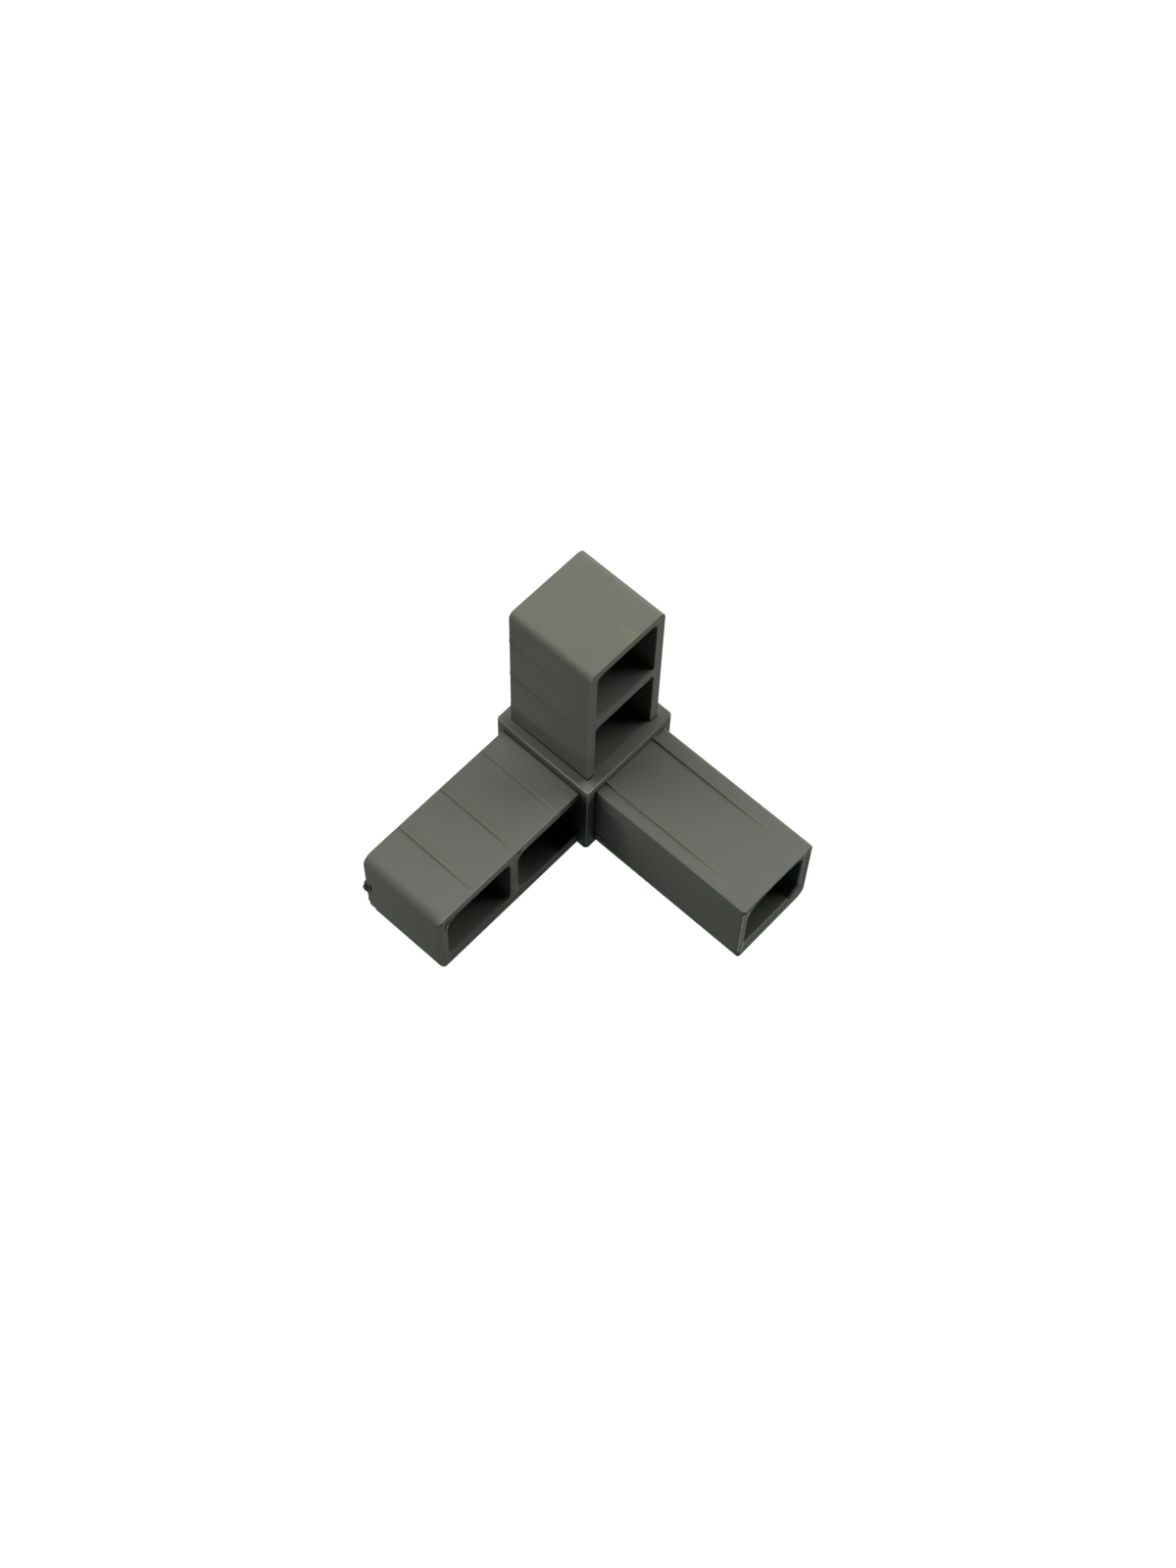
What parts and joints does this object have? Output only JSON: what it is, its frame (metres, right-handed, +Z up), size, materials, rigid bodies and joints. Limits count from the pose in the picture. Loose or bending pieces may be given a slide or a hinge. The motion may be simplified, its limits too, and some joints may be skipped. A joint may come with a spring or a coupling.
{
  "type": "three way corner connector",
  "caption": "Moulded corner connector for square tube: a cube with arms at right angles that press into the tube ends, cored on one side, with crush ribs.",
  "frame": {"origin": "centre of the cube's underside", "axes": "+Z up along the upright arm, +X along the hollow front arm, -Y along the side arm"},
  "size_m": [0.0637, 0.0643, 0.063],
  "materials": {
    "body": "plain grey moulded plastic, slightly satin, with faint mottling"
  },
  "bodies": {
    "root": {"connector": "body"}
  },
  "joints": []
}
